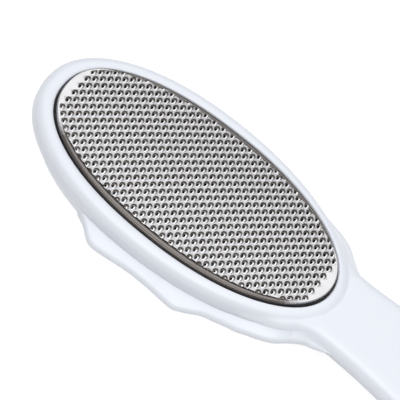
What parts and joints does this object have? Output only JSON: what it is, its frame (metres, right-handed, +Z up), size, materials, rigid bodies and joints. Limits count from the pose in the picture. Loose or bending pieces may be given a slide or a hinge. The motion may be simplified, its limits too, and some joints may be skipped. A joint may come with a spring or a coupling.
{
  "type": "foot file",
  "caption": "Hand-held foot file: oval head with a domed etched steel file plate in a white moulded rim, a pull-off catch tray with a winged edge under it, and a flat tapering handle.",
  "frame": {"origin": "centre of the bounding box in X and Y, on the table under the tray's flat bottom and the handle's flat underside", "axes": "+X runs from the head's tip to the handle's tail, +Y to the left of a hand that holds it, +Z up, out of the file plate"},
  "size_m": [0.25, 0.0562, 0.0186],
  "materials": {
    "white_shell": "injection-moulded white ABS with a soft satin gloss",
    "carrier_plastic": "moulded black acetal with a fine matt grain",
    "plate_steel": "photo-etched stainless sheet with sharp bright teeth",
    "screw_steel": "zinc-plated self-tapping screw"
  },
  "bodies": {
    "frame": {"upper_shell": "white_shell", "handle_back": "white_shell", "neck_screw": "screw_steel", "grip_screw": "screw_steel", "tail_screw": "screw_steel"},
    "cartridge": {"plate_carrier": "carrier_plastic", "file_plate": "plate_steel"},
    "tray": {"catch_tray": "white_shell"}
  },
  "joints": [
    {"name": "cartridge_lift", "type": "slide", "parent": "frame", "child": "cartridge", "axis": [0, 0, 1], "range_m": [0, 0.02]},
    {"name": "tray_pull", "type": "slide", "parent": "frame", "child": "tray", "axis": [0, 0, -1], "range_m": [0, 0.025]}
  ]
}
